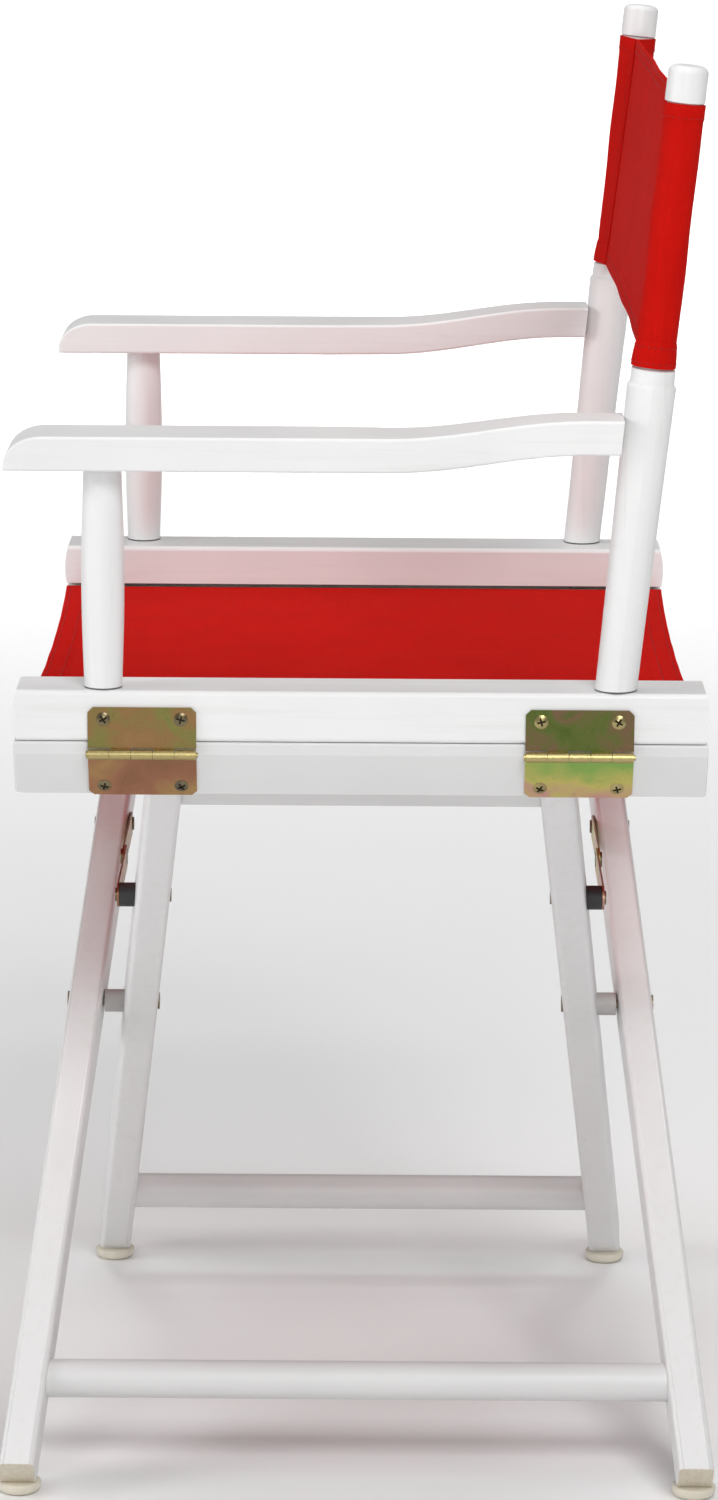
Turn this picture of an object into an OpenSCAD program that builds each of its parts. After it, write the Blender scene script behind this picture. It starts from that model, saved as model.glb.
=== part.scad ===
// Folding director chair: two arm units stand on a scissor of two leg frames.
// Axes: X across the chair (+X is the sitter's left), -Y is the front, +Z is up.
// The origin is on the floor, under the middle of the chair.

/* [Overall] */
// Height to the top of the back posts
total_height = 865; // [820:1:900]
// Width over the outer edges of the armrests
arm_span = 560; // [556:1:580]
// Width over the outer faces of the seat rails
rail_span = 536; // [530:1:545]
// Length of the seat rails, front to back
rail_length = 404; // [400:1:420]
// Height of the top of the seat rails
rail_top = 503; // [500:1:508]

/* [Seat rails] */
// Rail width, side to side
rail_w = 44; // [42:0.5:48]
// Rail height
rail_h = 30; // [28:0.5:34]
// Radius of the rail's long edges
rail_edge_r = 3; // [1:0.5:4]
// How far the rail ends bulge
rail_end_bulge = 2; // [1:0.5:3]
// Diameter of the dowel that keeps the seat in the rail
seat_dowel_d = 8; // [6:0.5:8]

/* [Armrests and posts] */
// Armrest width at the front
arm_w = 50; // [46:1:54]
// How much narrower the armrest is at the rear
arm_taper = 13; // [6:1:15]
// Armrest thickness
arm_t = 20; // [18:0.5:22]
// Height of the armrest top at the front
arm_top = 653; // [640:1:660]
// Rise of the armrest towards the rear
arm_rise = 11; // [6:0.5:14]
// Front post diameter at its ends
front_post_d = 22; // [20:0.5:24]
// Extra front post diameter at mid height
front_post_swell = 3; // [1:0.5:4]
// Back post diameter at the rail
back_post_d = 24.4; // [22:0.2:25]
// Back post diameter at its shoulder, under the back canvas
shoulder_d = 28.6; // [27:0.2:30]
// Back post diameter inside the canvas sleeve
sleeve_core_d = 20; // [18:0.5:21]
// Diameter of the cap above the sleeve
cap_d = 23; // [22:0.5:24]
// Rearward lean of the back post, from the rail to the top
back_lean = 35; // [30:1:38]
// Outward lean of the back post, from the rail to the top
side_lean = 10; // [6:1:12]

/* [Leg frames] */
// Height of the scissor pivot
pivot_height = 246; // [244:0.5:248]
// Leg angle from vertical with the chair open
leg_angle = 46.2; // [46:0.1:46.5]
// Length of a leg below the pivot
leg_below = 336; // [333:1:338]
// Leg width, front to back
leg_w = 21; // [19:0.5:21.5]
// Leg depth
leg_d = 32; // [30:0.5:33]
// Radius of the leg's long edges
leg_edge_r = 3.5; // [1:0.5:5]
// Distance from the middle to the inner frame's legs, at the pivot
inner_leg_y = 141.2; // [140:0.1:141.3]
// Distance from the middle to the outer frame's legs, at the pivot
outer_leg_y = 175.4; // [175.3:0.1:178]
// Outward splay of a leg, in mm per mm of its length
leg_splay = 0.088; // [0.084:0.001:0.089]
// Tilt of the lower rail's outer face from plumb with the chair open
rail_tilt = 28; // [26:1:32]
// Length of the lower rail's outer face, from the hinge pin down
lower_rail_face = 32.5; // [32:0.5:34]
// Height of the stretchers
stretcher_height = 59; // [54:1:70]
// Stretcher diameter
stretcher_d = 23.5; // [20:0.5:25]
// Glide diameter
glide_d = 26.5; // [24:0.5:28]
// Glide thickness
glide_h = 7; // [6.5:0.5:8]

/* [Hinges] */
// Hinge length along the pin
hinge_len = 63; // [60:1:66]
// Distance from the middle of the chair to a hinge's middle
hinge_y = 127; // [120:1:130]
// Diameter of the hinge barrel
barrel_d = 6; // [5.6:0.1:6.2]
// Diameter of the hinge pin
hinge_pin_d = 3; // [2.8:0.1:3]
// Leaf thickness
leaf_t = 1.4; // [1.2:0.1:1.4]
// Length of an upper leaf, from the pin
upper_leaf_len = 27.5; // [27:0.5:30]
// Length of a lower leaf, from the pin
lower_leaf_len = 32; // [30:0.5:32.5]

/* [Braces] */
// Distance from the scissor pivot to a brace pivot, along the leg
brace_reach = 136; // [130:0.5:137]
// How far the middle of the open brace stands above its ends
brace_over = 1; // [0.5:0.5:3]
// Width of a brace strap
strap_w = 15; // [12:0.5:15]
// Thickness of a brace strap
strap_t = 1.2; // [1:0.1:1.2]

/* [Canvas] */
// Canvas thickness of the plain seat and back panels
canvas_t = 1.4; // [1:0.1:1.6]
// Height of the back canvas, along the posts
back_canvas_h = 151; // [146:1:152]
// From a back post's axis to the seam that closes its sleeve
pocket_reach = 22; // [18:1:26]

/* [Hidden] */

$fn = 64;
big = 2000;
running = 0.06;      // radial clearance of a pin that turns in a hole
slip = 0.1;          // radial clearance of a fixed bolt or tenon in its hole
paint = "white";
steel = "darkkhaki";
cloth = "firebrick";

// Seat rail
rail_out = rail_span / 2;
rail_in = rail_out - rail_w;
rail_bottom = rail_top - rail_h;
post_x = rail_out - 13;              // both posts stand near the rail's outer face
front_post_y = -150;
back_post_y = 148;
slot_z = rail_bottom + 1.6;          // bottom of the slot that the canvas leaves through
slot_h = 3;
channel_r = seat_dowel_d / 2 + 1.4;
channel_x = rail_in + 9.5;
channel_z = slot_z - 0.4 + channel_r;
rail_end_r = (pow(rail_h / 2, 2) + pow(rail_end_bulge, 2)) / (2 * rail_end_bulge);

// Armrest
arm_out = arm_span / 2;
arm_bottom = arm_top - arm_t;
arm_front = -206;
arm_nose = 22;                       // length of the rounded nose
tenon_d = 14;
tenon_l = 10;

// Back post: its axis runs from the rail to the top
post_vec = [side_lean, back_lean, total_height - rail_top];
post_len = norm(post_vec);
post_tilt = acos(post_vec.z / post_len);
post_turn = atan2(post_vec.y, post_vec.x);
shoulder_at = post_len * 0.494;
canvas_at = shoulder_at + 11;
cap_h = 20.5;
panel_front = 4;                     // how far the back panel lies in front of the posts' axes
arm_joint_z = arm_top - arm_t / 2 + arm_rise;
function post_axis(z) =
    [post_x, back_post_y, rail_top] + post_vec * (z - rail_top) / (total_height - rail_top);

// Leg frame, in its own upright frame: Z along the legs from the pivot, X outwards
leg_top_z = rail_bottom - 11;        // level cut at the top of the legs and the aprons
u_top = (leg_top_z - pivot_height) / cos(leg_angle);
foot_inner = (pivot_height - glide_h) * tan(leg_angle) - leg_d / 2 / cos(leg_angle);
foot_outer = leg_below / sin(leg_angle) - (pivot_height - glide_h) / tan(leg_angle);
glide_x = (foot_inner + foot_outer) / 2;    // middle of the leg's level cut
u_glide = -glide_x * sin(leg_angle) - (pivot_height - glide_h) * cos(leg_angle);
u_stretcher = -(pivot_height - stretcher_height) / cos(leg_angle);
splay_angle = atan(leg_splay);
function leg_y(at_pivot, u) = at_pivot - leg_splay * u;

// Hinge pin, in the chair's frame and in the leg frame's
face_gap = barrel_d / 2 + 0.2;       // from the pin to the face that a leaf lies on
pin_x = rail_out + face_gap;
pin_z = rail_bottom - 7;
pin_u = pin_x * sin(leg_angle) + (pin_z - pivot_height) * cos(leg_angle);
pin_q = pin_x * cos(leg_angle) - (pin_z - pivot_height) * sin(leg_angle);
face_turn = leg_angle - rail_tilt;   // the lower rail's outer face, turned out from the legs
apron_drop = 86;                     // from the pin down to the aprons' bottom
rail_foot_u = pin_u - face_gap * sin(face_turn) - lower_rail_face * cos(face_turn);
lap_q = leg_d / 2 - 5;               // back of the rail, let into the legs
knuckle = hinge_len / 5;
screw_y = 22.5;                      // a screw's distance from the hinge's middle
screw_inset = 7;                     // and from the leaf's outer edge
upper_screw_z = pin_z + upper_leaf_len - screw_inset;
screw_r = 2;
head_r = 4.1;
head_h = 1.3;

// Braces, measured along Y from the middle of the chair
pivot_r = 3;
brace_pin_r = 2.5;
leg_half = leg_w / 2 * sqrt(1 + leg_splay * leg_splay);
strap_y_inner = inner_leg_y + leg_half - leg_splay * 30 + 0.3;
strap_y_outer = strap_y_inner + strap_t + 0.25;
brace_x = brace_reach * sin(leg_angle);
brace_z = pivot_height + brace_reach * cos(leg_angle);
strap_len = norm([brace_x, brace_over]);
strap_rise = atan2(brace_over, brace_x);

// ---- Shared shapes ----

// Draws its children at +X and leaves the other side empty, or the mirror image
module right_side() mirror([1, 0, 0]) children();

// Cylinder along Y from y0 to y1
module rod_y(r, y0, y1) translate([0, y1, 0]) rotate([90, 0, 0]) cylinder(r = r, h = y1 - y0);

// Front and rear copies, mirrored through the middle
module front_and_rear() {
    children();
    mirror([0, 1, 0]) children();
}

// A side view, drawn with Y to the right and Z up, made w thick from x0 on
module side_view(x0, w) translate([x0, 0, 0]) rotate([90, 0, 90]) linear_extrude(w) children();

// Rectangle with round corners, centred
module round_rect(w, d, r) {
    square([w - 2 * r, d], center = true);
    square([w, d - 2 * r], center = true);
    for (x = [-1, 1], y = [-1, 1])
        translate([x * (w / 2 - r), y * (d / 2 - r)]) circle(r = r);
}

// ---- Arm unit, drawn for the left side ----

module rail_section() translate([rail_out - rail_w / 2, rail_top - rail_h / 2])
    round_rect(rail_w, rail_h, rail_edge_r);

// What is cut away in front of the rail's bulging end
module beyond_rail_end() difference() {
    translate([0, -rail_length / 2 - 10, rail_bottom - 10]) cube([rail_out + 10, 14, rail_h + 20]);
    translate([-1, rail_end_r - rail_length / 2, rail_top - rail_h / 2])
        rotate([0, 90, 0]) cylinder(r = rail_end_r, h = rail_out + 20, $fn = 240);
}

module seat_rail() color(paint) difference() {
    rotate([90, 0, 0]) linear_extrude(rail_length + 2, center = true) rail_section();
    front_and_rear() beyond_rail_end();
    // keyhole for the seat's dowel
    translate([channel_x, 0, channel_z]) rod_y(channel_r, -rail_length, rail_length);
    translate([rail_in - 1, -rail_length, slot_z])
        cube([channel_x - rail_in + 1, 2 * rail_length, slot_h]);
    // sockets for the two posts
    translate([post_x, front_post_y, rail_top - tenon_l - 0.5])
        cylinder(d = tenon_d + 2 * slip, h = big);
    place_back_post() translate([0, 0, -tenon_l - 0.5]) cylinder(d = tenon_d + 2 * slip, h = 40);
    upper_leaf_screws(screw_r + slip);
}

module front_post() color(paint) {
    h = arm_bottom - rail_top;
    steps = 16;
    translate([post_x, front_post_y, rail_top]) {
        rotate_extrude() polygon(concat([[0, 0]],
            [for (i = [0 : steps])
                [front_post_d / 2 + front_post_swell / 2 * sin(180 * i / steps), h * i / steps]],
            [[0, h]]));
        translate([0, 0, -tenon_l]) cylinder(d = tenon_d, h = h + 2 * tenon_l);
    }
}

// Puts the back post's axis where it stands
module place_back_post() translate([post_x, back_post_y, rail_top])
    rotate([0, 0, post_turn]) rotate([0, post_tilt, 0]) rotate([0, 0, -post_turn]) children();

module back_post_turning() {
    core = sleeve_core_d / 2;
    cap = cap_d / 2;
    edge = 5;                        // radius of the cap's top edge
    cap_at = post_len - cap_h;
    rotate_extrude() {
        polygon([
            [0, -4], [back_post_d / 2, -4],
            for (i = [0 : 8]) [back_post_d / 2 + (shoulder_d - back_post_d) / 2 * pow(i / 8, 1.4),
                shoulder_at * i / 8],
            [shoulder_d / 2 - 1.4, shoulder_at + 1.8], [shoulder_d / 2 - 1.6, canvas_at - 1],
            [core, canvas_at], [core, cap_at - 1], [cap, cap_at],
            for (i = [0 : 6])
                [cap - edge * (1 - cos(i * 15)), post_len - edge * 0.8 * (1 - sin(i * 15))],
            [0, post_len]
        ]);
    }
}

module back_post() color(paint) {
    difference() {
        intersection() {
            place_back_post() back_post_turning();
            translate([0, 0, rail_top + big / 2]) cube([big, big, big], center = true);
        }
        arm_dowel_hole();
    }
    place_back_post() translate([0, 0, -tenon_l]) cylinder(d = tenon_d, h = tenon_l + 8);
}

// Side view of the armrest: rounded nose, level front, gentle rise to the rear
module arm_elevation() {
    nose = [for (i = [0 : 8])
        [arm_front + arm_nose * (1 - cos(i * 11.25)), arm_bottom + 3 + (arm_t - 3) * sin(i * 11.25)]];
    rise_from = 15;
    rise_to = 130;
    steps = 10;
    ramp = [for (i = [0 : steps])
        [rise_from + (rise_to - rise_from) * i / steps, arm_rise * (1 - cos(180 * i / steps)) / 2]];
    top = concat(nose, [for (p = ramp) [p.x, arm_top + p.y]], [[big, arm_top + arm_rise]]);
    under = concat([[big, arm_bottom + arm_rise]],
        [for (i = [steps : -1 : 0]) [ramp[i].x, arm_bottom + ramp[i].y]],
        [[arm_front + 4, arm_bottom]]);
    polygon(concat(top, under));
}

// Top view: straight outer edge, inner edge tapering to the rear
module arm_plan() polygon([
    [arm_out, arm_front - 1], [arm_out, big], [arm_out - arm_w + arm_taper, big],
    [arm_out - arm_w + arm_taper, 140], [arm_out - arm_w, -20], [arm_out - arm_w, arm_front - 1]
]);

module armrest() color(paint) difference() {
    intersection() {
        side_view(arm_out - arm_w - 1, arm_w + 2) arm_elevation();
        translate([0, 0, arm_bottom - 1]) linear_extrude(arm_t + arm_rise + 2) arm_plan();
    }
    // the rear end is cut parallel to the back post
    place_back_post() translate([-big / 2, -shoulder_d / 2 + 0.3, -big / 2]) cube(big);
    translate([post_x, front_post_y, 0]) cylinder(d = tenon_d + 2 * slip, h = arm_bottom + tenon_l + 1);
    arm_dowel_hole();
}

// Dowel that joins the armrest's rear end to the back post
module place_arm_dowel() translate([post_axis(arm_joint_z).x + 1, post_axis(arm_joint_z).y, arm_joint_z])
    children();
module arm_dowel_hole() place_arm_dowel() rod_y(4 + slip, -34, 2);
module arm_dowel() color("burlywood") place_arm_dowel() rod_y(4, -33, 0);

module seat_dowel() color("burlywood")
    translate([channel_x, 0, channel_z]) rod_y(seat_dowel_d / 2, -rail_length / 2 + 4, rail_length / 2 - 4);

// ---- Hinges ----

// Outline of a leaf's plate, with its outer corners cut off
module leaf_outline(len) {
    half = hinge_len / 2;
    corner = 3;
    foot = barrel_d / 2 + 0.4;
    polygon([[-half, foot], [half, foot], [half, len - corner], [half - corner, len],
        [corner - half, len], [-half, len - corner]]);
}

// A leaf: the pin runs along Y through the origin, the leaf goes up, side is -1 or 1
module hinge_leaf(len, own, side) {
    x0 = side < 0 ? -face_gap : face_gap - leaf_t;
    difference() {
        union() {
            side_view(x0, leaf_t) leaf_outline(len);
            for (i = own) translate([0, (i - 2) * knuckle, 0]) {
                rod_y(barrel_d / 2, -knuckle / 2 + 0.2, knuckle / 2 - 0.2);
                translate([x0, -knuckle / 2 + 0.2, 0]) cube([leaf_t, knuckle - 0.4, 5]);
            }
        }
        rod_y(hinge_pin_d / 2 + running, -hinge_len, hinge_len);
        for (y = [-screw_y, screw_y]) translate([0, y, len - screw_inset])
            rotate([0, 90, 0]) cylinder(r = screw_r + slip, h = 20, center = true);
    }
}

// A round-headed cross-recess screw: its head stands on the plane x = 0 and points to +X
module screw(len) difference() {
    rotate([0, 90, 0]) {
        translate([0, 0, -len]) cylinder(r = screw_r, h = len + 0.2);
        intersection() {
            cylinder(r = head_r, h = head_h);
            translate([0, 0, head_h - 8]) sphere(r = 8);
        }
    }
    for (a = [0, 90]) rotate([a, 0, 0]) translate([head_h - 0.9, -2.5, -0.6]) cube([2, 5, 1.2]);
}

module upper_hinge_leaves() color(steel) for (y = [-hinge_y, hinge_y])
    translate([pin_x, y, pin_z]) hinge_leaf(upper_leaf_len, [1, 3], -1);

// Screw shanks of the upper leaves, as holes in the rail
module upper_leaf_screws(r) for (y = [-hinge_y, hinge_y], s = [-screw_y, screw_y])
    translate([rail_out - 16, y + s, upper_screw_z]) rotate([0, 90, 0]) cylinder(r = r, h = 20);

module upper_hinge_screws() color(steel) for (y = [-hinge_y, hinge_y], s = [-screw_y, screw_y])
    translate([rail_out + leaf_t, y + s, upper_screw_z]) rotate([y + s, 0, 0]) screw(15);

// ---- Leg frames, drawn in the upright frame of the legs ----

module place_frame() translate([0, 0, pivot_height]) rotate([0, leg_angle, 0]) children();

module inner_frame() place_frame() children();
module outer_frame() mirror([1, 0, 0]) place_frame() children();

// Half space above or below a level of the chair, seen in the leg frame's own axes
module above(z) rotate([0, -leg_angle, 0]) translate([-big / 2, -big / 2, z - pivot_height]) cube(big);
module below(z) rotate([0, -leg_angle, 0])
    translate([-big / 2, -big / 2, z - pivot_height - big]) cube(big);

module leg_blank(y_pivot) translate([0, -y_pivot, 0]) rotate([-splay_angle, 0, 0])
    translate([0, 0, -leg_below - 30]) linear_extrude(u_top + leg_below + 80)
        round_rect(leg_d, leg_w, leg_edge_r);

// One front leg: a level cut at the top, and a square one at the bottom with its inner corner
// cut level for the glide
module front_leg(y_pivot, bolt_r) {
    difference() {
        leg_blank(y_pivot);
        above(leg_top_z);
        below(glide_h);
        translate([-big / 2, -big / 2, -leg_below - big]) cube(big);
        // lap for the lower rail
        translate([lap_q, -big / 2, rail_foot_u - 0.2]) cube([big, big, big]);
        rod_y(bolt_r, -y_pivot - leg_w, -y_pivot + leg_w);
        translate([0, 0, brace_reach]) rod_y(brace_pin_r + slip, -y_pivot - leg_w, 0);
        stretcher_end(y_pivot, tenon_d / 2 + slip);
        glide_nail_hole(y_pivot);
    }
}

module place_glide(y_pivot) {
    rotate([0, -leg_angle, 0])
        translate([-glide_x, -leg_y(y_pivot, u_glide), -pivot_height]) children();
}
module glide_nail_hole(y_pivot) place_glide(y_pivot) cylinder(r = 1.6, h = 24);

// Frames lie with the feet at -X once they are tilted, so glides are placed level
module glides(y_pivot) front_and_rear() place_glide(y_pivot) difference() {
    rotate_extrude() polygon([
        [0, 0.8], [5, 0.8], [5.6, 0],
        for (i = [0 : 6]) [glide_d / 2 - 5 * (1 - sin(i * 15)), 4.2 * (1 - cos(i * 15))],
        [glide_d / 2, glide_h - 0.8], [glide_d / 2 - 0.8, glide_h - 0.05], [0, glide_h - 0.05]]);
    translate([0, 0, -1]) cylinder(r = 1.6, h = 10);
}

module glide_nails(y_pivot) front_and_rear() place_glide(y_pivot) {
    translate([0, 0, 0.2]) cylinder(r = 3.4, h = 0.6);
    translate([0, 0, 0.2]) cylinder(r = 1.5, h = 20);
}

// Puts the hinge pin's axis at the origin and the lower rail's outer face on x = -face_gap
module on_lower_face() translate([pin_q, 0, pin_u]) rotate([0, -face_turn, 0]) children();

// Lower rail: a board on the legs' outer faces, level on top and flush with the seat rail
module lower_rail_section() {
    q_in = lap_q + 0.05;
    foot_q = pin_q - face_gap * cos(face_turn) + lower_rail_face * sin(face_turn);
    top_q = pin_q - face_gap * cos(face_turn) - 40 * sin(face_turn);
    difference() {
        polygon([[q_in, rail_foot_u], [foot_q, rail_foot_u], [top_q, rail_foot_u + (lower_rail_face + 40)
            * cos(face_turn)], [q_in, pin_u + 40]]);
        // level top, just under the seat rail, and a plumb nose under the rail's outer face
        rotate(leg_angle) translate([-big / 2, rail_bottom - 0.3 - pivot_height]) square(big);
        rotate(leg_angle) translate([rail_out - 1, -big / 2]) square(big);
    }
}

module lower_rail() difference() {
    rotate([90, 0, 0]) linear_extrude(rail_length, center = true) lower_rail_section();
    lower_leaf_screws(screw_r + slip);
}

// Apron between the two legs, behind the lower rail
module apron(y_pivot) {
    q0 = -4;
    u0 = pin_u - apron_drop;
    half = leg_y(y_pivot, u0);
    difference() {
        translate([q0, -half, u0]) cube([lap_q - q0, 2 * half, 60]);
        above(leg_top_z);
        front_and_rear() leg_blank(y_pivot);
    }
}

module stretcher_end(y_pivot, r) translate([0, 0, u_stretcher])
    rod_y(r, -leg_y(y_pivot, u_stretcher) - 4, 0);

module stretcher(y_pivot) {
    half = leg_y(y_pivot, u_stretcher);
    translate([0, 0, u_stretcher]) rod_y(tenon_d / 2, -half - 3.5, half + 3.5);
    difference() {
        translate([0, 0, u_stretcher]) rod_y(stretcher_d / 2, -half, half);
        front_and_rear() leg_blank(y_pivot);
    }
}

module lower_hinge_leaves() on_lower_face() for (y = [-hinge_y, hinge_y])
    translate([0, y, 0]) rotate([0, 180, 0]) hinge_leaf(lower_leaf_len, [0, 2, 4], 1);

module lower_leaf_screws(r) on_lower_face() for (y = [-hinge_y, hinge_y], s = [-screw_y, screw_y])
    translate([-face_gap - 14, y + s, screw_inset - lower_leaf_len])
        rotate([0, 90, 0]) cylinder(r = r, h = 20);

module lower_hinge_screws() on_lower_face() for (y = [-hinge_y, hinge_y], s = [-screw_y, screw_y])
    translate([leaf_t - face_gap, y + s, screw_inset - lower_leaf_len])
        rotate([y - s, 0, 0]) screw(13);

module hinge_pins() for (y = [-hinge_y, hinge_y]) translate([pin_q, y, pin_u]) {
    rod_y(hinge_pin_d / 2, -hinge_len / 2 - 1, hinge_len / 2 + 1);
    rod_y(hinge_pin_d / 2 + 0.7, -hinge_len / 2 - 1, -hinge_len / 2 - 0.1);
}

// Scissor bolts run through an inner leg, a spacer and an outer leg
module pivot_bolt() {
    head = outer_leg_y + leg_half + leg_splay * 6;
    translate([0, 0, pivot_height]) {
        rod_y(pivot_r, -head - 0.5, -inner_leg_y + leg_half + 1.7);
        rod_y(6, -head - 1.3, -head - 0.15);
    }
}

module pivot_nut() translate([0, 0, pivot_height]) difference() {
    rod_y(5.4, -inner_leg_y + leg_half + 0.5, -inner_leg_y + leg_half + 1.8);
    rod_y(pivot_r + 0.02, -big, big);
}

module pivot_spacer() place_frame() difference() {
    rod_y(7.3, -outer_leg_y + leg_half + leg_splay * 8 + 0.3, -inner_leg_y - 8);
    rod_y(pivot_r + slip, -big, big);
    leg_blank(inner_leg_y);
}

// Bolt that carries a strap: from the leg's far side, through the leg and the strap
module brace_bolt(y_pivot, y_strap, to_outside) {
    y_leg = leg_y(y_pivot, brace_reach);
    side = to_outside ? 1 : -1;
    y_back = -y_leg - side * (leg_half + leg_splay * 5 + 0.2);
    y_front = -y_strap - strap_t / 2 + side * (strap_t / 2 + 0.15);
    translate([0, 0, brace_reach]) {
        rod_y(brace_pin_r, min(y_back, y_front), max(y_back, y_front));
        rod_y(4.3, min(y_back, y_back - side * 0.9), max(y_back, y_back - side * 0.9));
        rod_y(4.3, min(y_front, y_front + side), max(y_front, y_front + side));
    }
}

module inner_brace_spacer() place_frame() translate([0, 0, brace_reach]) difference() {
    rod_y(7.5, -strap_y_inner + 0.25, -leg_y(inner_leg_y, brace_reach) + 2);
    rod_y(brace_pin_r + slip, -big, big);
    translate([0, 0, -brace_reach]) leg_blank(inner_leg_y);
}

// A strap from its bolt at +X to the middle of the brace
module strap(y) translate([brace_x, 0, brace_z]) rotate([0, strap_rise, 0]) difference() {
    union() {
        rod_y(strap_w / 2, -y - strap_t, -y);
        translate([-strap_len, 0, 0]) rod_y(strap_w / 2, -y - strap_t, -y);
        translate([-strap_len, -y - strap_t, -strap_w / 2]) cube([strap_len, strap_t, strap_w]);
    }
    rod_y(brace_pin_r + running, -big, big);
    translate([-strap_len, 0, 0]) rod_y(brace_pin_r + slip, -big, big);
}

// ---- Canvas, as plain solids ----

// Half of the seat, from inside the rail's slot to the middle of the chair
module seat_half() translate([0.2, -rail_length / 2 + 1, slot_z + (slot_h - canvas_t) / 2])
    cube([rail_in + 4.6, rail_length - 2, canvas_t]);

// Sleeve round a back post, drawn in to the seam where the panel starts
module back_sleeve_shape() place_back_post() translate([0, 0, canvas_at + 0.4]) difference() {
    wrap = sleeve_core_d / 2 + 1.7;
    linear_extrude(back_canvas_h) union() {
        circle(r = wrap);
        polygon([[0, -wrap], [0, wrap], [-pocket_reach, 0.8 - panel_front],
            [-pocket_reach, -0.8 - panel_front]]);
    }
    translate([0, 0, -1]) cylinder(r = sleeve_core_d / 2 + 0.35, h = back_canvas_h + 2);
}

// Half of the back panel: a plain strip between the sleeve's seam and the middle
module back_half() {
    tilt = atan2(post_vec.y, post_vec.z);
    low = post_axis(rail_top + canvas_at * post_vec.z / post_len);
    x_top = low.x + side_lean * back_canvas_h / post_len;
    reach = pocket_reach + 1.3;
    translate([0, low.y - panel_front, low.z]) rotate([90 - tilt, 0, 0]) linear_extrude(canvas_t, center = true)
        polygon([[0.2, 0.4], [low.x - reach, 0.4], [x_top - reach, back_canvas_h], [0.2, back_canvas_h]]);
}

// ---- Nodes ----

module seat_rail_left() seat_rail();
module seat_rail_right() right_side() seat_rail();
module front_post_left() front_post();
module front_post_right() right_side() front_post();
module back_post_left() back_post();
module back_post_right() right_side() back_post();
module armrest_left() armrest();
module armrest_right() right_side() armrest();
module arm_dowel_left() arm_dowel();
module arm_dowel_right() right_side() arm_dowel();
module seat_dowel_left() seat_dowel();
module seat_dowel_right() right_side() seat_dowel();
module upper_hinge_leaves_left() upper_hinge_leaves();
module upper_hinge_leaves_right() right_side() upper_hinge_leaves();
module upper_hinge_screws_left() upper_hinge_screws();
module upper_hinge_screws_right() right_side() upper_hinge_screws();

module inner_lower_rail() color(paint) inner_frame() lower_rail();
module inner_apron() color(paint) inner_frame() apron(inner_leg_y);
module inner_front_leg() color(paint) inner_frame() front_leg(inner_leg_y, pivot_r + slip);
module inner_rear_leg() mirror([0, 1, 0]) inner_front_leg();
module inner_stretcher() color(paint) inner_frame() stretcher(inner_leg_y);
module inner_glides() color("ivory") inner_frame() glides(inner_leg_y);
module inner_glide_nails() color("silver") inner_frame() glide_nails(inner_leg_y);
module lower_hinge_leaves_left() color(steel) inner_frame() lower_hinge_leaves();
module hinge_pins_left() color(steel) inner_frame() hinge_pins();
module lower_hinge_screws_left() color(steel) inner_frame() lower_hinge_screws();
module pivot_bolts() color(steel) front_and_rear() pivot_bolt();
module pivot_nuts() color(steel) front_and_rear() pivot_nut();
module pivot_spacers() color(paint) front_and_rear() pivot_spacer();
module inner_brace_bolts() color(steel) front_and_rear() inner_frame()
    brace_bolt(inner_leg_y, strap_y_inner, false);
module inner_brace_spacers() color("dimgray") front_and_rear() inner_brace_spacer();

module outer_lower_rail() color(paint) outer_frame() lower_rail();
module outer_apron() color(paint) outer_frame() apron(outer_leg_y);
module outer_front_leg() color(paint) outer_frame() front_leg(outer_leg_y, pivot_r + running);
module outer_rear_leg() mirror([0, 1, 0]) outer_front_leg();
module outer_stretcher() color(paint) outer_frame() stretcher(outer_leg_y);
module outer_glides() color("ivory") outer_frame() glides(outer_leg_y);
module outer_glide_nails() color("silver") outer_frame() glide_nails(outer_leg_y);
module lower_hinge_leaves_right() color(steel) outer_frame() lower_hinge_leaves();
module hinge_pins_right() color(steel) outer_frame() hinge_pins();
module lower_hinge_screws_right() color(steel) outer_frame() lower_hinge_screws();
module outer_brace_bolts() color(steel) front_and_rear() outer_frame()
    brace_bolt(outer_leg_y, strap_y_outer, true);

module brace_straps_left() color(steel) front_and_rear() strap(strap_y_inner);
module brace_straps_right() color(steel) right_side() front_and_rear() strap(strap_y_outer);
module brace_rivet_heads() color(steel) front_and_rear() translate([0, 0, brace_z + brace_over]) {
    rod_y(brace_pin_r, -strap_y_inner - strap_t + 0.05, -strap_y_inner);
    rod_y(5, -strap_y_inner, -strap_y_inner + 0.3);
}
module brace_rivet_tails() color(steel) front_and_rear() translate([0, 0, brace_z + brace_over]) {
    rod_y(brace_pin_r, -strap_y_outer - strap_t, -strap_y_outer - 0.05);
    rod_y(5, -strap_y_outer - strap_t - 1.4, -strap_y_outer - strap_t);
}

module seat_canvas_left() color(cloth) seat_half();
module seat_canvas_right() color(cloth) right_side() seat_half();
module back_sleeve_left() color(cloth) back_sleeve_shape();
module back_sleeve_right() color(cloth) right_side() back_sleeve_shape();
module back_canvas_left() color(cloth) back_half();
module back_canvas_right() color(cloth) right_side() back_half();

seat_rail_left();
front_post_left();
back_post_left();
armrest_left();
arm_dowel_left();
seat_dowel_left();
upper_hinge_leaves_left();
upper_hinge_screws_left();
seat_rail_right();
front_post_right();
back_post_right();
armrest_right();
arm_dowel_right();
seat_dowel_right();
upper_hinge_leaves_right();
upper_hinge_screws_right();
inner_lower_rail();
inner_apron();
inner_front_leg();
inner_rear_leg();
inner_stretcher();
inner_glides();
inner_glide_nails();
lower_hinge_leaves_left();
hinge_pins_left();
lower_hinge_screws_left();
pivot_bolts();
pivot_nuts();
pivot_spacers();
inner_brace_bolts();
inner_brace_spacers();
outer_lower_rail();
outer_apron();
outer_front_leg();
outer_rear_leg();
outer_stretcher();
outer_glides();
outer_glide_nails();
lower_hinge_leaves_right();
hinge_pins_right();
lower_hinge_screws_right();
outer_brace_bolts();
brace_straps_left();
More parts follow.
